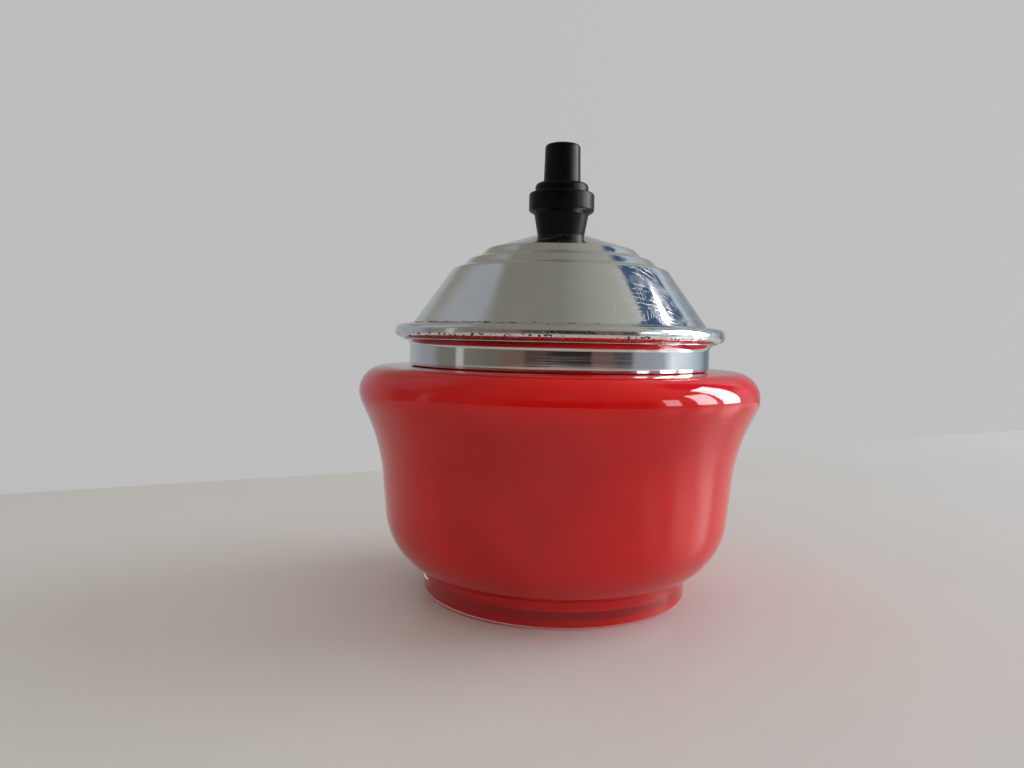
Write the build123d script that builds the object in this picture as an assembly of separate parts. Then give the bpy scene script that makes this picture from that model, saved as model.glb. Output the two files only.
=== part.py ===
"""Standing sanctuary light: a lidded jar of cased red glass with a candle insert.

The bowl is red glass cased in clear glass, with a turned metal collar cemented
on its neck. A spun metal lid with a moulded knob rests on the collar, and a
glass cup with the candle stands on the floor of the bowl. Millimetres, +Z up,
origin at the middle of the foot's underside.
"""

from build123d import *
import os

# ---- Bowl --------------------------------------------------------------------
REST_R = 40.6            # outer edge of the ground ring that the foot stands on
REST_WIDTH = 3.4
RECESS_DEPTH = 1.4       # the foot is ground hollow inside its rest ring
RECESS_SLOPE = 4.0
FOOT_R = 43.3
FOOT_EDGE_Z = 3.2        # top of the rounding at the foot's lower edge
FOOT_TOP = (43.5, 9.2)   # the foot meets the belly in an undercut crease
BELLY_EDGE = (46.0, 9.7)
BELLY = (55.3, 17.2)
WAIST = (58.2, 49.3)
SHOULDER = (69.4, 74.2)
TOP_Z = SHOULDER[1]      # the shoulder's top is flat
NECK_R = 47.6
NECK_TOP_Z = 80.6
BOWL_ROUNDS = [0.8, 22.0, 60.0, 8.0, 0.8]   # belly edge, belly, waist, shoulder, neck
CASING_WALL = 2.0        # clear outer glass
CORE_WALL = 1.8          # red inner glass
CORE_FLOOR = (35.4, 4.2) # corner of the red glass floor
CORE_FLOOR_ROUND = 8.0
INNER_FLOOR_Z = CORE_FLOOR[1] + CORE_WALL

# ---- Collar ------------------------------------------------------------------
COLLAR_R = 49.0
COLLAR_WALL = 0.9
COLLAR_BOTTOM_Z = 74.6
COVE_START_Z = 80.3
COVE_END = (51.3, 82.8)
COLLAR_TOP_Z = 83.2
COLLAR_TOP_WALL = 0.9
COLLAR_BORE_R = 42.8
COLLAR_LINER_WALL = 0.8
COLLAR_LINER_BOTTOM_Z = 76.8
COLLAR_EDGE = 0.25
CEMENT_BOTTOM_Z = 75.3

# ---- Lid ---------------------------------------------------------------------
SHEET = 0.8
LID_GAP = 0.05           # the lid rests this far above the collar at zero lift
BEAD_R = 53.7            # outside of the rolled rim
BEAD_INNER_R = 49.6
BEAD_TOP_Z = 87.4
BEAD_ROUND = 1.9
BEAD_INNER_ROUND = 1.6
CURL_END_Z = 86.2
CREASE_R, CREASE_Z = 48.0, 88.2
SHOULDER_EDGE = (35.2, 106.1)
STEPS = [(32.1, 107.0), (29.9, 109.3), (26.6, 110.3), (24.4, 112.7)]
CROWN_R = 8.4
CROWN_Z = 117.6
LID_HOLE_R = 2.2
SPIGOT_R = 42.4          # 0.4 mm inside the collar's bore
SPIGOT_BOTTOM_Z = 77.6
SPIGOT_SHEET = 0.8
RING_FLANGE_R = 49.2
RING_FLANGE_TOP_Z = 87.2

# ---- Knob and its fixing -----------------------------------------------------
KNOB_BASE_Z = 117.7
KNOB_BASE_R = 7.7
KNOB_CONE_TOP = (8.9, 124.5)
FLANGE_R = 10.75
FLANGE_BOTTOM_Z = 125.7
FLANGE_TOP_Z = 131.5
KNOB_RING_R = 8.75
KNOB_RING_TOP_Z = 134.7
STEM_BASE_R = 6.05
STEM_TOP_R = 5.75
TOP_OF_KNOB_Z = 147.3
INSERT_R = 3.0
INSERT_BOTTOM_Z = 118.5
INSERT_TOP_Z = 131.0
INSERT_GROOVE = 0.4
SCREW_R = 2.0
THREAD_GAP = 0.05
SCREW_TOP_Z = 129.0
SCREW_HEAD_R = 4.0
SCREW_HEAD_HEIGHT = 2.4
SLOT_WIDTH = 1.0
SLOT_DEPTH = 1.2
FIBRE_R = 6.0
FIBRE_THICK = 0.6
WASHER_R = 4.5
WASHER_THICK = 0.8
SPRING_R = 3.8
SPRING_THICK = 1.0
SPRING_SPLIT = 0.8

# ---- Candle insert -----------------------------------------------------------
REST_GAP = 0.05          # the insert stands this far above the bowl's floor
PAD_R = 23.5
PAD_THICK = 1.5
CUP_BASE_R = 25.0
CUP_RIM_R = 27.5
CUP_HEIGHT = 52.0
CUP_WALL = 2.0
CUP_FLOOR = 4.0
CUP_ROUND = 2.5
CUP_INNER_ROUND = 1.2
WAX_DEPTH = 30.0
MENISCUS = 0.8
WICK_R = 1.2
WICK_ABOVE_WAX = 7.0
CLIP_R = 9.0
CLIP_THICK = 0.5
CLIP_STEM_R = 2.0
CLIP_STEM_HEIGHT = 6.0


def turned(outline):
    """A solid of revolution about +Z, from a closed outline in (radius, height)."""
    return revolve(Plane.XZ * make_face(outline), Axis.Z)


def polygon(*points, rounds=0):
    """A closed outline with its corners rounded by one radius or a list of them."""
    return FilletPolyline(*points, radius=rounds, close=True)


def tube(outer_r, inner_r, bottom_z, height):
    """A plain upright tube."""
    outline = Polyline(
        (inner_r, bottom_z),
        (outer_r, bottom_z),
        (outer_r, bottom_z + height),
        (inner_r, bottom_z + height),
        close=True,
    )
    return turned(outline)


def moved_in(corners, depth):
    """The inner corners of an open outline, moved a depth to the left of its run."""
    moved = []
    for before, corner, after in zip(corners, corners[1:], corners[2:]):
        way_in = (Vector(corner) - Vector(before)).normalized()
        way_out = (Vector(after) - Vector(corner)).normalized()
        left_in = Vector(-way_in.Y, way_in.X)
        left_out = Vector(-way_out.Y, way_out.X)
        shift = (left_in + left_out) * (depth / (1 + left_in.dot(left_out)))
        moved.append(Vector(corner) + shift)
    return moved


# ---- Bowl --------------------------------------------------------------------
def wall_line(depth):
    """A line up the bowl's wall, a depth inside the clear glass, from its floor to its rim."""
    outside = [BELLY_EDGE, BELLY, WAIST, SHOULDER, (NECK_R, TOP_Z), (NECK_R, NECK_TOP_Z)]
    core_floor = [(0, CORE_FLOOR[1]), CORE_FLOOR, moved_in(outside, CASING_WALL)[0]]
    floor_corner = moved_in(core_floor, depth - CASING_WALL)[0]
    corners = moved_in(outside, depth)
    start = (0, floor_corner.Y)
    end = (NECK_R - depth, NECK_TOP_Z)
    belly, waist, shoulder, neck = BOWL_ROUNDS[1:]
    floor_round = CORE_FLOOR_ROUND + CASING_WALL - depth
    rounds = [floor_round, belly - depth, waist + depth, shoulder - depth, neck + depth]
    return FilletPolyline(start, floor_corner, *corners, end, radius=rounds)


def make_bowl_casing():
    """Clear glass: the whole outside of the bowl, and the thick clear foot."""
    recess_r = REST_R - REST_WIDTH
    underside = Polyline(
        (0, RECESS_DEPTH),
        (recess_r - RECESS_SLOPE, RECESS_DEPTH),
        (recess_r, 0),
        (REST_R, 0),
    )
    foot_edge = TangentArc((REST_R, 0), (FOOT_R, FOOT_EDGE_Z), tangent=(1.0, 0.35))
    foot_side = Line((FOOT_R, FOOT_EDGE_Z), FOOT_TOP)
    corners = [FOOT_TOP, BELLY_EDGE, BELLY, WAIST, SHOULDER, (NECK_R, TOP_Z), (NECK_R, NECK_TOP_Z)]
    outside = FilletPolyline(*corners, radius=BOWL_ROUNDS)
    inside = wall_line(CASING_WALL)
    rim = Line(outside @ 1, inside @ 1)
    axis = Line(inside @ 0, (0, RECESS_DEPTH))
    return turned(Curve() + [underside, foot_edge, foot_side, outside, rim, inside, axis])


def make_bowl_core():
    """Opaque red glass, of even wall, from the floor to the top of the neck."""
    outside = wall_line(CASING_WALL)
    inside = wall_line(CASING_WALL + CORE_WALL)
    rim = Line(outside @ 1, inside @ 1)
    axis = Line(inside @ 0, outside @ 0)
    return turned(Curve() + [outside, rim, inside, axis])


# ---- Collar ------------------------------------------------------------------
def make_collar():
    """Turned metal channel over the glass rim, with a cove under its lip."""
    inner_r = COLLAR_R - COLLAR_WALL
    liner_r = COLLAR_BORE_R + COLLAR_LINER_WALL
    ceiling_z = COLLAR_TOP_Z - COLLAR_TOP_WALL
    lip_r = COVE_END[0]
    wall = Line((COLLAR_R, COLLAR_BOTTOM_Z), (COLLAR_R, COVE_START_Z))
    cove = TangentArc(wall @ 1, COVE_END, tangent=(0.0, 1.0))
    rest = Polyline(
        COVE_END,
        (lip_r, COLLAR_TOP_Z - COLLAR_EDGE),
        (lip_r - COLLAR_EDGE, COLLAR_TOP_Z),
        (COLLAR_BORE_R + COLLAR_EDGE, COLLAR_TOP_Z),
        (COLLAR_BORE_R, COLLAR_TOP_Z - COLLAR_EDGE),
        (COLLAR_BORE_R, COLLAR_LINER_BOTTOM_Z),
        (liner_r, COLLAR_LINER_BOTTOM_Z),
        (liner_r, ceiling_z),
        (inner_r, ceiling_z),
        (inner_r, COLLAR_BOTTOM_Z),
        (COLLAR_R, COLLAR_BOTTOM_Z),
    )
    return turned(Curve() + [wall, cove, rest])


def make_collar_cement():
    """Plaster between the collar and the glass neck, and over the glass rim."""
    outer_r = COLLAR_R - COLLAR_WALL
    inner_r = COLLAR_BORE_R + COLLAR_LINER_WALL
    ceiling_z = COLLAR_TOP_Z - COLLAR_TOP_WALL
    outline = Polyline(
        (NECK_R, CEMENT_BOTTOM_Z),
        (outer_r, CEMENT_BOTTOM_Z),
        (outer_r, ceiling_z),
        (inner_r, ceiling_z),
        (inner_r, NECK_TOP_Z),
        (NECK_R, NECK_TOP_Z),
        close=True,
    )
    return turned(outline)


# ---- Lid ---------------------------------------------------------------------
def make_lid_shell():
    """Spun sheet: crown, cone, two steps, skirt and a rim rolled into a bead."""
    bead_bottom_z = COLLAR_TOP_Z + LID_GAP
    corners = [
        (LID_HOLE_R, CROWN_Z),
        (CROWN_R, CROWN_Z),
        *reversed(STEPS),
        SHOULDER_EDGE,
        (CREASE_R, CREASE_Z),
        (BEAD_R, BEAD_TOP_Z),
        (BEAD_R, bead_bottom_z),
        (BEAD_INNER_R, bead_bottom_z),
        (BEAD_INNER_R, CURL_END_Z),
    ]
    crown_round = 1.5
    step_rounds = [1.6, 0.5, 1.3, 0.5]
    shoulder_round = 2.4
    crease_round = 0.4
    rounds = [crown_round, *step_rounds, shoulder_round, crease_round]
    rounds += [BEAD_ROUND, BEAD_ROUND, BEAD_INNER_ROUND]
    outside = FilletPolyline(*corners, radius=rounds)
    section = offset(outside, amount=SHEET, side=Side.RIGHT, closed=True)
    return turned(section)


def make_lid_locating_ring():
    """Pressed ring inside the lid, whose spigot drops into the collar's bore."""
    flange_z = RING_FLANGE_TOP_Z - SPIGOT_SHEET
    outline = polygon(
        (SPIGOT_R - SPIGOT_SHEET, SPIGOT_BOTTOM_Z),
        (SPIGOT_R, SPIGOT_BOTTOM_Z),
        (SPIGOT_R, flange_z),
        (RING_FLANGE_R, flange_z),
        (RING_FLANGE_R, RING_FLANGE_TOP_Z),
        (SPIGOT_R - SPIGOT_SHEET, RING_FLANGE_TOP_Z),
        rounds=[0, 0, 0.6, 0, 0, 0.6],
    )
    return turned(outline)


def make_knob():
    """Moulded knob: flaring foot, finger flange, shoulder ring and plain stem."""
    recess_r = FIBRE_R + 0.2
    recess_z = CROWN_Z + FIBRE_THICK
    outline = polygon(
        (INSERT_R, recess_z),
        (recess_r, recess_z),
        (recess_r, KNOB_BASE_Z),
        (KNOB_BASE_R, KNOB_BASE_Z),
        KNOB_CONE_TOP,
        (FLANGE_R, FLANGE_BOTTOM_Z),
        (FLANGE_R, FLANGE_TOP_Z),
        (KNOB_RING_R, FLANGE_TOP_Z),
        (KNOB_RING_R, KNOB_RING_TOP_Z),
        (STEM_BASE_R, KNOB_RING_TOP_Z),
        (STEM_TOP_R, TOP_OF_KNOB_Z),
        (0, TOP_OF_KNOB_Z),
        (0, INSERT_TOP_Z),
        (INSERT_R, INSERT_TOP_Z),
        rounds=[0, 0, 0, 0.2, 0.3, 0.8, 0.8, 0.2, 1.4, 0.3, 1.1, 0, 0, 0],
    )
    return turned(outline)


def make_knob_insert():
    """Brass bush moulded into the knob, with two anchoring grooves."""
    bush = tube(INSERT_R, SCREW_R + THREAD_GAP, INSERT_BOTTOM_Z, INSERT_TOP_Z - INSERT_BOTTOM_Z)
    length = INSERT_TOP_Z - INSERT_BOTTOM_Z
    for share in (1 / 3, 2 / 3):
        groove_z = INSERT_BOTTOM_Z + share * length
        bush -= tube(INSERT_R, INSERT_R - INSERT_GROOVE, groove_z, 2 * INSERT_GROOVE)
    return bush


def make_fibre_washer():
    """Soft washer between the knob and the lid."""
    return tube(FIBRE_R, LID_HOLE_R, CROWN_Z, FIBRE_THICK)


def make_flat_washer():
    """Steel washer against the underside of the crown."""
    return tube(WASHER_R, LID_HOLE_R, CROWN_Z - SHEET - WASHER_THICK, WASHER_THICK)


def spring_washer_z():
    """Height of the spring washer's underside, which the screw head bears on."""
    return CROWN_Z - SHEET - WASHER_THICK - SPRING_THICK


def make_spring_washer():
    """Split lock washer."""
    ring = tube(SPRING_R, LID_HOLE_R, spring_washer_z(), SPRING_THICK)
    split = Box(SPRING_R * 2, SPRING_SPLIT, SPRING_THICK * 3)
    return ring - Pos(SPRING_R, 0, spring_washer_z()) * split


def make_knob_screw():
    """Slotted pan-head screw, driven from inside the lid."""
    head_top_z = spring_washer_z()
    head_z = head_top_z - SCREW_HEAD_HEIGHT
    outline = polygon(
        (0, head_z),
        (SCREW_HEAD_R, head_z),
        (SCREW_HEAD_R, head_top_z),
        (SCREW_R, head_top_z),
        (SCREW_R, SCREW_TOP_Z),
        (0, SCREW_TOP_Z),
        rounds=[0, 1.0, 0, 0, 0.4, 0],
    )
    slot = Box(SCREW_HEAD_R * 3, SLOT_WIDTH, SLOT_DEPTH * 2)
    return turned(outline) - Pos(0, 0, head_z) * slot


# ---- Candle insert -----------------------------------------------------------
def pad_z():
    """Height of the underside of the pad."""
    return INNER_FLOOR_Z + REST_GAP


def cup_z():
    """Height of the underside of the candle cup."""
    return pad_z() + PAD_THICK


def make_cup_pad():
    """Cork disc that the cup stands on."""
    disc = Cylinder(PAD_R, PAD_THICK, align=(Align.CENTER, Align.CENTER, Align.MIN))
    return Pos(0, 0, pad_z()) * disc


def cup_inner_r(height):
    """Inner radius of the tapered cup at a height above its base."""
    return CUP_BASE_R + (CUP_RIM_R - CUP_BASE_R) * height / CUP_HEIGHT - CUP_WALL


def make_candle_cup():
    """Clear pressed glass cup with a heavy floor and a rounded rim."""
    base_z = cup_z()
    rim_z = base_z + CUP_HEIGHT
    outline = polygon(
        (0, base_z),
        (CUP_BASE_R, base_z),
        (CUP_RIM_R, rim_z),
        (cup_inner_r(CUP_HEIGHT), rim_z),
        (cup_inner_r(CUP_FLOOR), base_z + CUP_FLOOR),
        (0, base_z + CUP_FLOOR),
        rounds=[0, CUP_ROUND, 0.9, 0.9, CUP_INNER_ROUND, 0],
    )
    return turned(outline)


def make_wick_sustainer():
    """Pressed tin clip on the floor of the cup, with a crimped stem."""
    floor_z = cup_z() + CUP_FLOOR
    disc = tube(CLIP_R, WICK_R, floor_z, CLIP_THICK)
    stem = tube(CLIP_STEM_R, WICK_R, floor_z + CLIP_THICK, CLIP_STEM_HEIGHT)
    return disc + stem


def make_wick():
    """Braided cotton wick, from the floor of the cup to above the wax."""
    length = WAX_DEPTH + WICK_ABOVE_WAX
    wick = Cylinder(WICK_R, length, align=(Align.CENTER, Align.CENTER, Align.MIN))
    wick = fillet(wick.edges().sort_by(Axis.Z)[-1], WICK_R / 2)
    return Pos(0, 0, cup_z() + CUP_FLOOR) * wick


def make_wax():
    """Poured wax that fills the cup and creeps up its wall and the wick."""
    floor_z = cup_z() + CUP_FLOOR
    top_z = floor_z + WAX_DEPTH
    edge_r = cup_inner_r(CUP_FLOOR + WAX_DEPTH + MENISCUS)
    top = Spline(
        (edge_r, top_z + MENISCUS),
        (edge_r / 2, top_z),
        (WICK_R, top_z + MENISCUS),
    )
    inner_edge_r = cup_inner_r(CUP_FLOOR) - CUP_INNER_ROUND
    wall_start = (cup_inner_r(CUP_FLOOR + CUP_INNER_ROUND) - 0.1, floor_z + CUP_INNER_ROUND)
    side = Polyline(
        (WICK_R, top_z + MENISCUS),
        (WICK_R, floor_z),
        (inner_edge_r, floor_z),
        wall_start,
        (edge_r, top_z + MENISCUS),
    )
    return turned(Curve() + [top, side])


def make_parts():
    """Every sub-part, by name."""
    sustainer = make_wick_sustainer()
    return {
        "bowl_casing": make_bowl_casing(),
        "bowl_core": make_bowl_core(),
        "collar": make_collar(),
        "collar_cement": make_collar_cement(),
        "lid_shell": make_lid_shell(),
        "lid_locating_ring": make_lid_locating_ring(),
        "knob": make_knob(),
        "knob_insert": make_knob_insert(),
        "knob_screw": make_knob_screw(),
        "flat_washer": make_flat_washer(),
        "spring_washer": make_spring_washer(),
        "fibre_washer": make_fibre_washer(),
        "candle_cup": make_candle_cup(),
        "cup_pad": make_cup_pad(),
        "wax": make_wax() - sustainer,
        "wick": make_wick(),
        "wick_sustainer": sustainer,
    }


os.makedirs("parts", exist_ok=True)
for name, part in make_parts().items():
    export_step(part, os.path.join("parts", name + ".step"))
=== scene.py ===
"""Looks for the standing sanctuary light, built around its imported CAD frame.

The glass, the metal and the knob are lathe-turned from named outlines at a finer
pitch than the CAD mesh, and take the place of their CAD nodes. The inner pieces
keep their CAD mesh and get a material. Metres, +Z up, in the CAD's own frame.
"""

import math

import bmesh
import bpy
from mathutils import Matrix, Vector


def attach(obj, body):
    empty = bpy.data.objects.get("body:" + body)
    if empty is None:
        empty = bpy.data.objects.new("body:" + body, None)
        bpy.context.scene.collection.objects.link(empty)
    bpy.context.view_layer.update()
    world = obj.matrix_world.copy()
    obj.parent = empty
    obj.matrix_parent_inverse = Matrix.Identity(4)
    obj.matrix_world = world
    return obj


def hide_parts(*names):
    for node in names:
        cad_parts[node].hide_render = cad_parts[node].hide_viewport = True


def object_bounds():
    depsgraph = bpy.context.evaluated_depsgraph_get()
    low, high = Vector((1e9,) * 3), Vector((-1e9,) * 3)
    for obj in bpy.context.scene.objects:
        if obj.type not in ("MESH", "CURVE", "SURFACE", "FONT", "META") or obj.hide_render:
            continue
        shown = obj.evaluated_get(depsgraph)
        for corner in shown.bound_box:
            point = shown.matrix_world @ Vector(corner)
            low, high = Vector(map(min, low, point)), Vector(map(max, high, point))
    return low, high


MM = 0.001

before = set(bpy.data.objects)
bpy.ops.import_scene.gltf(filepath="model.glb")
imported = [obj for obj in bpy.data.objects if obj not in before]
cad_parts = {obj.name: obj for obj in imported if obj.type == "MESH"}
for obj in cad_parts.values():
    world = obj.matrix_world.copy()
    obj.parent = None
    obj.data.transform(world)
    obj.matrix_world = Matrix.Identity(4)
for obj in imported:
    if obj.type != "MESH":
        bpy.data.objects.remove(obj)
cad_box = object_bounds()
LOW = Vector(cad_box[0])
HIGH = Vector(cad_box[1])
SHOULDER_R = (HIGH.x - LOW.x) / 2
HEIGHT = HIGH.z

# ---- Outlines, in millimetres of (radius, height), as in the CAD ----------------
# Each list of rounds has one radius per corner that is rounded, in the same order.
FOOT_TOP = (43.5, 9.2)
FOOT = [(0, 1.4), (33.2, 1.4), (37.2, 0), (40.6, 0), (43.3, 1.0), FOOT_TOP]
FOOT_ROUNDS = [2.0, 0.3, 0.25, 1.8, 0.3]
BELLY_EDGE = (46.0, 9.7)
BELLY = (55.3, 17.2)
WAIST = (58.2, 49.3)
SHOULDER = (69.4, 74.2)
NECK_CORNER = (47.6, 74.2)
NECK_TOP = (47.6, 80.6)
BOWL_ROUNDS = [0.8, 22.0, 60.0, 8.0, 0.8]
CASING_WALL = 2.0
CORE_WALL = 1.8
CORE_FLOOR = (35.4, 4.2)
CORE_FLOOR_ROUND = 8.0
GLASS_OVERLAP = 0.4      # how far the casing dips into the core, so that no air shows between them
COLLAR = [
    (49.0, 74.6), (49.0, 80.3), (49.0, 82.8), (51.3, 82.8), (51.3, 83.2), (42.8, 83.2),
    (42.8, 76.8), (43.6, 76.8), (43.6, 82.3), (48.1, 82.3), (48.1, 74.6),
]
COLLAR_ROUNDS = [0.12, 0, 2.25, 0.19, 0.19, 0.3, 0.2, 0.1, 0, 0, 0.1]
SHEET = 0.8
BEAD_Z = (83.25, 87.4)
CREASE = (48.0, 88.2)
LID = [
    (2.2, 117.6), (8.4, 117.6), (24.4, 112.7), (26.6, 110.3), (29.9, 109.3), (32.1, 107.0),
    (35.2, 106.1), CREASE, (53.7, BEAD_Z[1]), (53.7, BEAD_Z[0]), (49.6, BEAD_Z[0]), (49.6, 86.2),
]
LID_ROUNDS = [1.5, 1.6, 0.5, 1.3, 0.5, 2.4, 0.4, 1.9, 1.9, 1.6]
LID_BENDS = [1, 1, -1, 1, -1, 1, -1, 1, 1, 1]   # 1 where the sheet's outer face is the convex one
KNOB_TOP_Z = HEIGHT / MM
KNOB = [
    (3.0, 118.2), (6.2, 118.2), (6.2, 117.7), (7.7, 117.7), (8.9, 124.5), (10.75, 125.7),
    (10.75, 131.5), (8.75, 131.5), (8.75, 134.7), (6.05, 134.7), (5.75, KNOB_TOP_Z),
    (0, KNOB_TOP_Z), (0, 131.0), (3.0, 131.0),
]
KNOB_ROUNDS = [0, 0, 0, 0.2, 0.3, 0.8, 0.8, 0.2, 1.4, 0.3, 1.1, 0, 0, 0]

# ---- Wear of the lid and painted shade in its crease, in millimetres of height ---
PITTED_Z = (BEAD_Z[0] + 0.6, BEAD_Z[0] + 1.6)
# Painted shade: a dark line along the crease between skirt and bead.
CREASE_SHADE_Z = (CREASE[1] - 0.35, CREASE[1] + 0.1)

# ---- The room that the polished faces reflect -----------------------------------
# Shares of a turn from behind the object, past its left, its front and its right.
LEVEL_VIEW = [
    (0.00, (0.44, 0.45, 0.45)),  # pale wall behind
    (0.12, (0.36, 0.40, 0.43)),
    (0.19, (0.33, 0.35, 0.37)),
    (0.22, (0.20, 0.20, 0.19)),
    (0.265, (0.20, 0.20, 0.18)),
    (0.27, (0.52, 0.51, 0.48)),  # narrow pale door
    (0.285, (0.52, 0.51, 0.48)),
    (0.29, (0.22, 0.21, 0.19)),
    (0.37, (0.17, 0.15, 0.12)),
    (0.38, (0.20, 0.13, 0.10)),  # brown furniture
    (0.42, (0.18, 0.12, 0.09)),
    (0.43, (0.085, 0.058, 0.05)),
    (0.465, (0.085, 0.058, 0.05)),
    (0.475, (0.03, 0.022, 0.022)),  # dark middle of the room
    (0.555, (0.03, 0.022, 0.022)),
    (0.56, (0.17, 0.09, 0.09)),
    (0.60, (0.17, 0.10, 0.10)),
    (0.61, (0.09, 0.075, 0.08)),
    (0.64, (0.11, 0.10, 0.11)),
    (0.65, (0.38, 0.39, 0.42)),
    (0.72, (0.36, 0.43, 0.49)),
    (0.745, (0.95, 1.02, 1.08)),  # sill of the window
    (0.80, (0.75, 0.82, 0.90)),
    (0.86, (0.40, 0.50, 0.58)),
    (0.89, (0.20, 0.23, 0.26)),
    (1.00, (0.44, 0.45, 0.45)),
]
OVERHEAD_VIEW = [
    (0.00, (0.27, 0.26, 0.225)),
    (0.10, (0.27, 0.26, 0.225)),
    (0.15, (0.37, 0.39, 0.42)),
    (0.225, (0.37, 0.39, 0.42)),
    (0.275, (0.22, 0.205, 0.165)),  # shaded ceiling
    (0.50, (0.25, 0.24, 0.205)),
    (0.66, (0.35, 0.35, 0.31)),
    (0.765, (0.52, 0.53, 0.49)),
    (0.77, (0.06, 0.11, 0.19)),  # dark blind above the window
    (0.865, (0.06, 0.11, 0.19)),
    (0.87, (0.52, 0.62, 0.70)),
    (0.93, (0.36, 0.36, 0.33)),
    (1.00, (0.27, 0.26, 0.225)),
]
LEVEL_TO_OVERHEAD = (0.30, 0.44)     # height on the unit sphere where one view fades into the next
OVERHEAD_TO_CEILING = (0.81, 0.86)
CEILING_WEST = (0.235, 0.23, 0.195)
CEILING_EAST = (0.46, 0.46, 0.42)
DAYLIGHT = (0.58, 0.53, 0.48)        # what lights every face that isn't a mirror
WALL_WEST = (0.50, 0.505, 0.50)      # the plain wall that the camera sees
WALL_EAST = (0.53, 0.53, 0.53)
SKY_COLOUR = (0.86, 0.94, 1.0)
PANE_COLOUR = (0.97, 0.98, 1.0)
WINDOW_DISTANCE = 1.3


# ---- Camera ---------------------------------------------------------------------
def make_camera():
    """A close view from the front, a little above the collar and looking slightly down."""
    distance = 4.103 * SHOULDER_R
    side_step = 0.2325 * SHOULDER_R
    eye_height = 0.572 * HEIGHT
    pitch = math.radians(3.41)
    roll = math.radians(1.2)
    data = bpy.data.cameras.new("camera")
    data.sensor_width = 36
    data.lens = 28.1
    data.clip_start = 0.01
    camera = bpy.data.objects.new("camera", data)
    bpy.context.scene.collection.objects.link(camera)
    place = Matrix.Translation((-side_step, -distance, eye_height))
    tilt = Matrix.Rotation(math.pi / 2 - pitch, 4, "X")
    camera.matrix_world = place @ tilt @ Matrix.Rotation(roll, 4, "Z")
    bpy.context.scene.camera = camera


# ---- Outline and mesh helpers ----------------------------------------------------
def rounded(corners, rounds, pitch=0.25, close=False):
    """Points along straight runs joined by tangent arcs. rounds has one radius per corner."""
    points = []
    count = len(corners)
    turning = range(count) if close else range(1, count - 1)
    radius_at = dict(zip(turning, rounds))
    for i, corner in enumerate(corners):
        here = Vector(corner)
        radius = radius_at.get(i, 0)
        if radius == 0:
            points.append(here)
            continue
        to_last = (Vector(corners[i - 1]) - here).normalized()
        to_next = (Vector(corners[(i + 1) % count]) - here).normalized()
        half = to_last.angle(to_next) / 2
        tangent = radius / math.tan(half)
        middle = here + (to_last + to_next).normalized() * radius / math.sin(half)
        start = here + to_last * tangent - middle
        end = here + to_next * tangent - middle
        turn = start.angle_signed(end)
        steps = max(4, math.ceil(radius * abs(turn) / pitch))
        for k in range(steps + 1):
            arm = start.copy()
            arm.rotate(Matrix.Rotation(-turn * k / steps, 2))
            points.append(middle + arm)
    return points


def moved_in(corners, depth):
    """The inner corners of an open outline, moved a depth to the left of its run."""
    moved = []
    for before, corner, after in zip(corners, corners[1:], corners[2:]):
        way_in = (Vector(corner) - Vector(before)).normalized()
        way_out = (Vector(after) - Vector(corner)).normalized()
        left_in = Vector((-way_in.y, way_in.x))
        left_out = Vector((-way_out.y, way_out.x))
        moved.append(Vector(corner) + (left_in + left_out) * depth / (1 + left_in.dot(left_out)))
    return moved


def filled(points, pitch, close=False):
    """The same outline with extra points on its long runs."""
    result = []
    ends = points[1:] + points[:1] if close else points[1:]
    for a, b in zip(points, ends):
        result.append(a)
        steps = max(1, math.ceil((b - a).length / pitch))
        for k in range(1, steps):
            result.append(a.lerp(b, k / steps))
    if not close:
        result.append(points[-1])
    return result


def lathe(name, outline, segments=320, sharp_deg=28):
    """A closed body turned about +Z from a closed outline in millimetres."""
    bm = bmesh.new()
    on_axis = 1e-6
    rings = []
    for radius, height in outline:
        if radius < on_axis:
            rings.append([bm.verts.new((0, 0, height * MM))])
            continue
        ring = []
        for k in range(segments):
            angle = 2 * math.pi * k / segments
            point = Vector((radius * math.cos(angle), radius * math.sin(angle), height))
            ring.append(bm.verts.new(point * MM))
        rings.append(ring)
    for low, high in zip(rings, rings[1:] + rings[:1]):
        if len(low) == 1 and len(high) == 1:
            continue
        for k in range(segments):
            n = (k + 1) % segments
            if len(low) == 1:
                bm.faces.new((low[0], high[n], high[k]))
            elif len(high) == 1:
                bm.faces.new((low[k], low[n], high[0]))
            else:
                bm.faces.new((low[k], low[n], high[n], high[k]))
    bmesh.ops.recalc_face_normals(bm, faces=bm.faces)
    mesh = bpy.data.meshes.new(name)
    bm.to_mesh(mesh)
    bm.free()
    mesh.shade_smooth()
    mesh.set_sharp_from_angle(angle=math.radians(sharp_deg))
    piece = bpy.data.objects.new(name, mesh)
    bpy.context.scene.collection.objects.link(piece)
    return piece


def give(piece, material):
    """Puts one material on a piece."""
    piece.data.materials.clear()
    piece.data.materials.append(material)


def take_place(piece, body, node):
    """Rides a piece on its body in place of a CAD node."""
    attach(piece, body)
    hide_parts(node)


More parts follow.
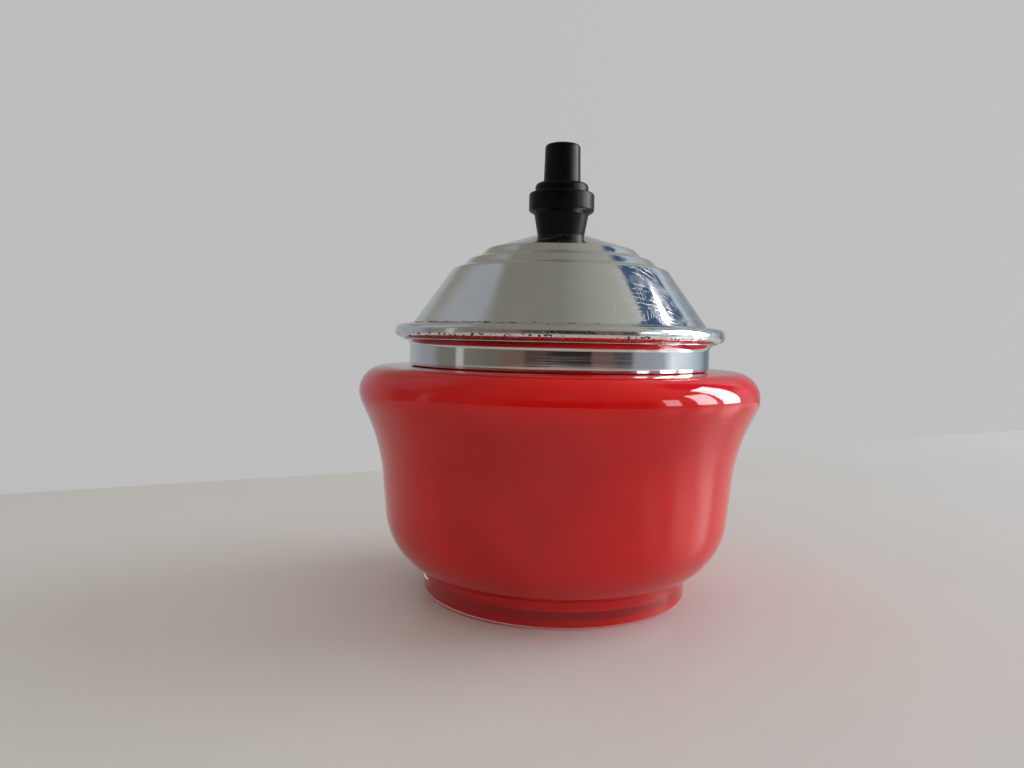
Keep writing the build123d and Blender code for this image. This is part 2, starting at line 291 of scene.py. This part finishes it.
# ---- Shader helpers --------------------------------------------------------------
class Tree:
    """A node tree of a material or a world, with short ways to add and link nodes."""

    def __init__(self, owner):
        owner.use_nodes = True
        self.tree = owner.node_tree
        self.tree.nodes.clear()

    def feed(self, socket, value):
        """Links a socket to another one, or sets its value."""
        if isinstance(value, bpy.types.NodeSocket):
            self.tree.links.new(value, socket)
        elif isinstance(value, tuple) and socket.type == "RGBA":
            socket.default_value = (*value, 1)
        else:
            socket.default_value = value

    def add(self, kind, inputs=None, **settings):
        """A new node; its inputs are values or sockets, by name or number."""
        node = self.tree.nodes.new("ShaderNode" + kind)
        for key, value in settings.items():
            setattr(node, key, value)
        for key, value in (inputs or {}).items():
            self.feed(node.inputs[key], value)
        return node

    def calc(self, operation, a, b=0.0):
        return self.add("Math", {0: a, 1: b}, operation=operation).outputs[0]

    def span(self, value, low, high, to_low=0.0, to_high=1.0):
        limits = {"Value": value, "From Min": low, "From Max": high, "To Min": to_low, "To Max": to_high}
        return self.add("MapRange", limits).outputs[0]

    def mix(self, share, a, b):
        node = self.add("Mix", data_type="RGBA")
        for index, value in ((0, share), (6, a), (7, b)):
            self.feed(node.inputs[index], value)
        return node.outputs[2]

    def ramp(self, share, stops):
        """A colour ramp; its stops are (position, number or colour)."""
        node = self.add("ValToRGB", {0: share})
        elements = node.color_ramp.elements
        elements.remove(elements[1])
        for index, (position, value) in enumerate(stops):
            element = elements[0] if index == 0 else elements.new(position)
            colour = value if isinstance(value, tuple) else (value,) * 3
            element.position = position
            element.color = (*colour, 1)
        return node.outputs[0]


class Surface(Tree):
    """A material with one Principled shader."""

    def __init__(self, name):
        self.material = bpy.data.materials.new(name)
        super().__init__(self.material)
        self.output = self.add("OutputMaterial")
        self.shader = self.add("BsdfPrincipled")
        self.feed(self.output.inputs["Surface"], self.shader.outputs[0])
        self.place = self.add("TexCoord").outputs["Object"]
        self.x, self.y, self.z = self.add("SeparateXYZ", {0: self.place}).outputs

    def set(self, **values):
        """Sets sockets of the shader; underscores stand for spaces."""
        for key, value in values.items():
            self.feed(self.shader.inputs[key.replace("_", " ")], value)

    def noise(self, scale, detail=3, vector=None):
        inputs = {"Vector": vector or self.place, "Scale": scale, "Detail": detail}
        return self.add("TexNoise", inputs).outputs[0]

    def bump(self, height, strength, distance, below=None):
        inputs = {"Height": height, "Strength": strength, "Distance": distance}
        if below:
            inputs["Normal"] = below
        return self.add("Bump", inputs).outputs[0]

    def turned(self, across, around):
        """Coordinates of turning marks: fine across the run of the lathe, long around it."""
        x_squared = self.calc("MULTIPLY", self.x, self.x)
        y_squared = self.calc("MULTIPLY", self.y, self.y)
        radius = self.calc("SQRT", self.calc("ADD", x_squared, y_squared))
        out = self.calc("MULTIPLY", radius, across)
        height = self.calc("MULTIPLY", self.z, across)
        angle = self.calc("MULTIPLY", self.calc("ARCTAN2", self.y, self.x), around)
        return self.add("CombineXYZ", {0: out, 1: height, 2: angle}).outputs[0]

    def band(self, heights, soft):
        """1 between two heights in millimetres, fading out over a soft edge."""
        low, high = heights
        above = self.span(self.z, (low - soft) * MM, low * MM)
        below = self.span(self.z, (high + soft) * MM, high * MM)
        return self.calc("MULTIPLY", above, below)

    def lets_lamps_through(self, colour):
        """A Transparent shader for shadow rays, so that lamps reach what is behind the glass."""
        shadow = self.add("LightPath").outputs["Is Shadow Ray"]
        clear = self.add("BsdfTransparent", {"Color": colour})
        mix = self.add("MixShader", {0: shadow, 1: self.shader.outputs[0], 2: clear.outputs[0]})
        self.feed(self.output.inputs["Surface"], mix.outputs[0])


# ---- Materials -------------------------------------------------------------------
RED = (0.75, 0.007, 0.007)
RED_STREAK = (0.81, 0.011, 0.010)


def clear_glass(name):
    """Blown clear glass, faintly uneven, with finger marks."""
    s = Surface(name)
    marks = s.noise(38, detail=4)
    s.set(
        Base_Color=(0.985, 0.99, 0.988),
        Transmission_Weight=1.0,
        IOR=1.5,
        Roughness=s.span(marks, 0.5, 0.75, 0.0, 0.015),
        Normal=s.bump(s.noise(22, detail=1), 0.04, 0.002),
    )
    s.lets_lamps_through((0.97, 0.975, 0.97))
    return s.material


def red_glass():
    """Opaque red glass fused under the clear casing, with faint streaks and a few seeds."""
    s = Surface("red_core_glass")
    streaks = s.noise(3.0, detail=4, vector=s.turned(24, 1.4))
    seeds = s.ramp(s.noise(900, detail=1), [(0.74, 0.0), (0.80, 0.18)])
    body = s.ramp(streaks, [(0.35, RED), (0.65, RED_STREAK)])
    s.set(
        Base_Color=s.mix(seeds, body, (0.85, 0.10, 0.08)),
        Roughness=0.5,
        Specular_IOR_Level=0.0,
        Subsurface_Weight=0.2,
        Subsurface_Radius=(1.0, 0.12, 0.08),
        Subsurface_Scale=0.003,
    )
    return s.material


def red_glass_underside_painted_glow():
    """The red glass of the floor, seen from below, with a faint painted red glow."""
    s = Surface("red_core_underside_painted_glow")
    streaks = s.noise(3.0, detail=3, vector=s.turned(20, 1.2))
    s.set(
        Base_Color=s.ramp(streaks, [(0.3, RED), (0.7, RED_STREAK)]),
        Roughness=0.5,
        Specular_IOR_Level=0.0,
        # Painted glow: a faint red emission that brightens the unlit underside.
        Emission_Color=(1.0, 0.05, 0.06),
        Emission_Strength=0.055,
    )
    return s.material


def red_glass_inside():
    """The free inner face of the red glass, fire-polished."""
    s = Surface("red_core_inside")
    streaks = s.noise(3.0, detail=3, vector=s.turned(20, 1.2))
    s.set(
        Base_Color=s.ramp(streaks, [(0.3, (0.66, 0.022, 0.020)), (0.7, (0.74, 0.030, 0.028))]),
        Roughness=0.06,
    )
    return s.material


def swirls(s):
    """Thin broken arcs left by wiping, about three centres in metres."""
    centres = [(0.05, -0.02, 0.16), (-0.03, 0.06, 0.06), (0.02, -0.09, 0.13)]
    found = None
    for centre in centres:
        off = s.add("VectorMath", {0: s.place, 1: centre}, operation="SUBTRACT").outputs[0]
        rings = {"Vector": off, "Scale": 620.0, "Distortion": 3.0, "Detail": 2.0, "Detail Scale": 0.6}
        wave = s.add("TexWave", rings, wave_type="RINGS", rings_direction="SPHERICAL").outputs["Fac"]
        lines = s.ramp(wave, [(0.90, 0.0), (0.97, 1.0)])
        broken = s.ramp(s.noise(210, detail=2, vector=off), [(0.47, 0.0), (0.57, 1.0)])
        arcs = s.calc("MULTIPLY", lines, broken)
        found = arcs if found is None else s.calc("MAXIMUM", found, arcs)
    return found


def plated_metal():
    """Bright plating over spun sheet: spinning lines, wiping swirls, pits at the rim and painted shade
    along the crease.
    """
    s = Surface("lid_plating")
    haze = s.noise(45, detail=4)
    arcs = swirls(s)
    patches = s.ramp(s.noise(90, detail=2), [(0.36, 0.0), (0.48, 1.0)])
    specks = s.ramp(s.noise(950, detail=1), [(0.58, 0.0), (0.61, 1.0)])
    rim = s.band(PITTED_Z, soft=0.3)
    pits = s.calc("MULTIPLY", s.calc("MULTIPLY", rim, patches), specks)
    crease = s.band(CREASE_SHADE_Z, soft=0.1)
    # Painted shade: the crease line darkens towards the left, the side away from the window light.
    side_away_from_window = s.span(s.x, 0.02, -0.03, 0.0, 0.13)
    crease_shade_pattern = s.ramp(s.calc("ADD", s.noise(420, detail=2), side_away_from_window), [(0.60, 0.0), (0.66, 1.0)])
    # Real pits on the bead, joined with the painted shade in the crease.
    pits_and_crease_shade = s.calc("MAXIMUM", pits, s.calc("MULTIPLY", crease, crease_shade_pattern))
    metal = s.ramp(haze, [(0.3, (0.71, 0.71, 0.70)), (0.7, (0.76, 0.76, 0.75))])
    roughness = s.calc("ADD", s.span(haze, 0.3, 0.8, 0.03, 0.08), s.calc("MULTIPLY", arcs, 0.24))
    lines = s.noise(1.0, detail=2, vector=s.turned(2600, 0.9))
    s.set(
        # Near-black colour for the pits and for the painted shade in the crease.
        Base_Color=s.mix(pits_and_crease_shade, metal, (0.012, 0.010, 0.009)),
        Metallic=s.calc("SUBTRACT", 1.0, pits_and_crease_shade),
        Roughness=s.calc("ADD", roughness, s.calc("MULTIPLY", pits_and_crease_shade, 0.5)),
        Normal=s.bump(lines, 0.05, 0.00003),
    )
    return s.material


def turned_metal():
    """Collar metal with the marks of the lathe running round it."""
    s = Surface("collar_turned_metal")
    fine = s.noise(1.0, detail=3, vector=s.turned(5200, 0.6))
    broad = s.noise(1.0, detail=2, vector=s.turned(900, 1.1))
    stain = s.noise(60, detail=5)
    s.set(
        Base_Color=s.ramp(stain, [(0.35, (0.62, 0.62, 0.62)), (0.65, (0.74, 0.74, 0.74))]),
        Metallic=1.0,
        Roughness=s.span(broad, 0.3, 0.7, 0.02, 0.06),
        Anisotropic=0.7,
        Anisotropic_Rotation=0.25,
        Tangent=s.add("Tangent", direction_type="RADIAL", axis="Z").outputs[0],
        Normal=s.bump(fine, 0.14, 0.00003, s.bump(broad, 0.10, 0.0001)),
    )
    return s.material


def black_plastic():
    """Black moulded plastic, slightly worn and grained."""
    s = Surface("knob_black_plastic")
    wear = s.noise(160, detail=4)
    grain = s.noise(1100, detail=3)
    s.set(
        Base_Color=s.ramp(wear, [(0.4, (0.0022, 0.0023, 0.0028)), (0.75, (0.006, 0.0065, 0.0075))]),
        Roughness=s.span(wear, 0.3, 0.7, 0.26, 0.40),
        Specular_IOR_Level=0.13,
        Normal=s.bump(grain, 0.12, 0.0001),
    )
    return s.material


def plain_metal(name, colour, roughness, grain=1800):
    """A small metal part with a fine mottle."""
    s = Surface(name)
    mottle = s.noise(grain)
    darker = tuple(0.82 * c for c in colour)
    s.set(
        Base_Color=s.ramp(mottle, [(0.3, darker), (0.7, colour)]),
        Metallic=1.0,
        Roughness=s.span(mottle, 0.3, 0.7, roughness * 0.75, roughness * 1.25),
        Normal=s.bump(mottle, 0.08, 0.00005),
    )
    return s.material


def grainy(name, low, high, scale, roughness, strength=0.3):
    """A matt, granular material: plaster, cork, fibre or cotton."""
    s = Surface(name)
    grain = s.noise(scale, detail=5)
    s.set(
        Base_Color=s.ramp(grain, [(0.35, low), (0.65, high)]),
        Roughness=roughness,
        Normal=s.bump(grain, strength, 0.0001),
    )
    return s.material


def candle_wax():
    """Ivory wax, a little cloudy."""
    s = Surface("candle_wax")
    cloud = s.noise(90)
    s.set(
        Base_Color=s.ramp(cloud, [(0.3, (0.80, 0.76, 0.64)), (0.7, (0.88, 0.85, 0.75))]),
        Roughness=0.38,
        Subsurface_Weight=0.6,
        Subsurface_Radius=(1.0, 0.7, 0.4),
        Subsurface_Scale=0.004,
        Normal=s.bump(cloud, 0.15, 0.0004),
    )
    return s.material


# ---- Bowl and collar ---------------------------------------------------------------
def wall_points(depth):
    """Points along the bowl's wall, a depth inside its outer face, from floor centre to rim."""
    outside = [BELLY_EDGE, BELLY, WAIST, SHOULDER, NECK_CORNER, NECK_TOP]
    core_floor = [(0, CORE_FLOOR[1]), CORE_FLOOR, moved_in(outside, CASING_WALL)[0]]
    floor_corner = moved_in(core_floor, depth - CASING_WALL)[0]
    start = (0, floor_corner.y)
    end = (NECK_TOP[0] - depth, NECK_TOP[1])
    belly, waist, shoulder, neck = BOWL_ROUNDS[1:]
    rounds = [CORE_FLOOR_ROUND + CASING_WALL - depth, belly - depth, waist + depth]
    rounds += [shoulder - depth, neck + depth]
    return rounded([start, floor_corner, *moved_in(outside, depth), end], rounds, pitch=0.5)


def make_bowl_casing():
    """Clear glass. Its inner face dips into the core, so that no air shows between them."""
    corners = [*FOOT, BELLY_EDGE, BELLY, WAIST, SHOULDER, NECK_CORNER, NECK_TOP]
    outside = rounded(corners, FOOT_ROUNDS + BOWL_ROUNDS, pitch=0.4)
    inside = wall_points(CASING_WALL + GLASS_OVERLAP)
    piece = lathe("bowl_casing_glass", outside + inside[::-1])
    give(piece, clear_glass("casing_clear_glass"))
    take_place(piece, "bowl", "bowl_casing")


def make_bowl_core():
    """Red glass: matt where it is fused to the casing, polished on its free inner face, with a painted
    red glow under its floor.
    """
    outside = wall_points(CASING_WALL)
    inside = wall_points(CASING_WALL + CORE_WALL)
    piece = lathe("bowl_core_glass", outside + inside[::-1])
    give(piece, red_glass())
    piece.data.materials.append(red_glass_inside())
    piece.data.materials.append(red_glass_underside_painted_glow())
    inside_slot = 1
    painted_glow_slot = 2
    for face in piece.data.polygons:
        outwards = Vector((face.center.x, face.center.y, 0)).normalized()
        near_floor = face.center.z < SHOULDER_R / 4
        if face.normal.dot(outwards) < -0.05 or (near_floor and face.normal.z > 0.9):
            face.material_index = inside_slot
        elif near_floor and face.normal.z < -0.9:
            # Faces under the floor get the painted glow.
            face.material_index = painted_glow_slot
    take_place(piece, "bowl", "bowl_core")


def make_collar():
    """The cemented channel band with its flared lip."""
    outline = rounded(COLLAR, COLLAR_ROUNDS, pitch=0.15, close=True)
    piece = lathe("collar_metal_band", filled(outline, 1.5, close=True))
    give(piece, turned_metal())
    take_place(piece, "bowl", "collar")


# ---- Lid ---------------------------------------------------------------------------
def make_lid_shell():
    """Spun sheet: crown, two steps, skirt, and a bead curled under at the rim."""
    hole = LID[0]
    curl_end = LID[-1]
    inner_start = (hole[0], hole[1] - SHEET)
    inner_end = (curl_end[0] + SHEET, curl_end[1])
    inner = [inner_start, *moved_in(LID, -SHEET), inner_end]
    inner_rounds = [radius - SHEET * bend for radius, bend in zip(LID_ROUNDS, LID_BENDS)]
    outside = filled(rounded(LID, LID_ROUNDS, pitch=0.2), 2.0)
    inside = filled(rounded(inner, inner_rounds, pitch=0.3), 4.0)
    piece = lathe("lid_spun_shell", outside + inside[::-1])
    give(piece, plated_metal())
    take_place(piece, "lid", "lid_shell")


def make_knob():
    """Moulded knob: flaring foot, finger flange, shoulder ring and plain stem."""
    outline = rounded(KNOB, KNOB_ROUNDS, pitch=0.1, close=True)
    piece = lathe("knob_moulding", filled(outline, 1.0, close=True), segments=160)
    give(piece, black_plastic())
    take_place(piece, "lid", "knob")


# ---- CAD nodes that keep their own mesh ---------------------------------------------
def dress_inner_pieces():
    """Materials for the small and hidden pieces."""
    steel = plain_metal("zinc_plated_steel", (0.58, 0.58, 0.56), 0.32)
    looks = {
        "collar_cement": grainy("plaster", (0.62, 0.58, 0.50), (0.74, 0.71, 0.64), 1500, 0.9),
        "lid_locating_ring": plain_metal("pressed_ring_metal", (0.62, 0.62, 0.61), 0.28),
        "knob_insert": plain_metal("turned_brass", (0.72, 0.52, 0.22), 0.25),
        "knob_screw": steel,
        "flat_washer": steel,
        "spring_washer": steel,
        "fibre_washer": grainy("vulcanised_fibre", (0.30, 0.08, 0.05), (0.40, 0.13, 0.08), 2500, 0.7),
        "candle_cup": clear_glass("cup_clear_glass"),
        "cup_pad": grainy("cork", (0.32, 0.19, 0.09), (0.62, 0.43, 0.25), 900, 0.85, strength=0.6),
        "wax": candle_wax(),
        "wick": grainy("cotton_wick", (0.66, 0.63, 0.56), (0.86, 0.84, 0.78), 2600, 0.9),
        "wick_sustainer": plain_metal("tinplate", (0.66, 0.66, 0.64), 0.22),
    }
    for node, material in looks.items():
        give(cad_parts[node], material)


# ---- Stage ---------------------------------------------------------------------------
def make_floor():
    """A pale satin table top. Its far edge runs behind the object at a slant."""
    s = Surface("pale_floor")
    s.set(
        Base_Color=s.ramp(s.noise(6, detail=4), [(0.3, (0.70, 0.70, 0.70)), (0.7, (0.73, 0.73, 0.73))]),
        Roughness=0.35,
        Specular_IOR_Level=0.12,
        Normal=s.bump(s.noise(500, detail=2), 0.03, 0.0001),
    )
    half_width = 1.1
    front = -1.6
    back = 0.24
    front_corners = [(-half_width, front, 0), (half_width, front, 0)]
    back_corners = [(half_width, back, 0), (-half_width, back, 0)]
    mesh = bpy.data.meshes.new("floor")
    mesh.from_pydata(front_corners + back_corners, [], [(0, 1, 2, 3)])
    floor = bpy.data.objects.new("floor", mesh)
    bpy.context.scene.collection.objects.link(floor)
    floor.rotation_euler.z = math.radians(28)
    give(floor, s.material)


def make_world():
    """Plain pale surroundings, and the dimmer room that mirror reflections show."""
    world = bpy.data.worlds.new("room")
    bpy.context.scene.world = world
    t = Tree(world)
    east, north, up = t.add("SeparateXYZ", {0: t.add("TexCoord").outputs["Generated"]}).outputs
    angle = t.calc("ARCTAN2", east, t.calc("MULTIPLY", north, -1.0))
    share = t.calc("ADD", t.calc("DIVIDE", angle, 2 * math.pi), 0.5)
    ceiling = t.mix(t.span(east, 0.0, 0.6), CEILING_WEST, CEILING_EAST)
    above = t.mix(t.span(up, *OVERHEAD_TO_CEILING), t.ramp(share, OVERHEAD_VIEW), ceiling)
    mirrored = t.mix(t.span(up, *LEVEL_TO_OVERHEAD), t.ramp(share, LEVEL_VIEW), above)
    ray = t.add("LightPath")
    is_mirrored = t.calc("SUBTRACT", ray.outputs["Is Glossy Ray"], ray.outputs["Is Transmission Ray"])
    lit = t.mix(is_mirrored, DAYLIGHT, mirrored)
    wall = t.mix(t.span(east, -0.6, 0.7), WALL_WEST, WALL_EAST)
    background = t.add("Background", {"Color": t.mix(ray.outputs["Is Camera Ray"], lit, wall)})
    t.add("OutputWorld", {"Surface": background.outputs[0]})


def make_lamp(name, turn, rise, size, radiance, colour):
    """A flat lamp facing the object. In degrees, turn goes from front to right, rise from level."""
    around = math.radians(turn)
    above = math.radians(rise)
    level = math.cos(above)
    towards = Vector((math.sin(around) * level, -math.cos(around) * level, math.sin(above)))
    data = bpy.data.lights.new(name, "AREA")
    data.shape = "RECTANGLE"
    data.size, data.size_y = size
    data.energy = radiance * math.pi * size[0] * size[1]
    data.color = colour
    lamp = bpy.data.objects.new(name, data)
    bpy.context.scene.collection.objects.link(lamp)
    lamp.location = Vector((0, 0, HEIGHT / 2)) + towards * WINDOW_DISTANCE
    lamp.rotation_euler = towards.to_track_quat("Z", "Y").to_euler()
    return lamp


def make_lights():
    """Soft window light from the right, and the window panes that the glass and metal mirror."""
    key = make_lamp(
        "soft_window_light", turn=105, rise=25, size=(0.9, 0.9), radiance=3.2, colour=SKY_COLOUR
    )
    key.visible_glossy = False
    panes = {
        "window_pane_front": {"turn": 83, "rise": 17, "size": (0.34, 0.62), "radiance": 9.0},
        "window_pane_back": {"turn": 104, "rise": 21, "size": (0.40, 0.96), "radiance": 12.0},
        "small_window": {"turn": 60, "rise": 13, "size": (0.22, 0.40), "radiance": 5.0},
    }
    for name, place in panes.items():
        pane = make_lamp(name, colour=PANE_COLOUR, **place)
        pane.visible_diffuse = False
        pane.visible_transmission = False


make_camera()
make_bowl_casing()
make_bowl_core()
make_collar()
make_lid_shell()
make_knob()
dress_inner_pieces()
make_floor()
make_world()
make_lights()
bpy.context.scene.view_settings.view_transform = "Standard"
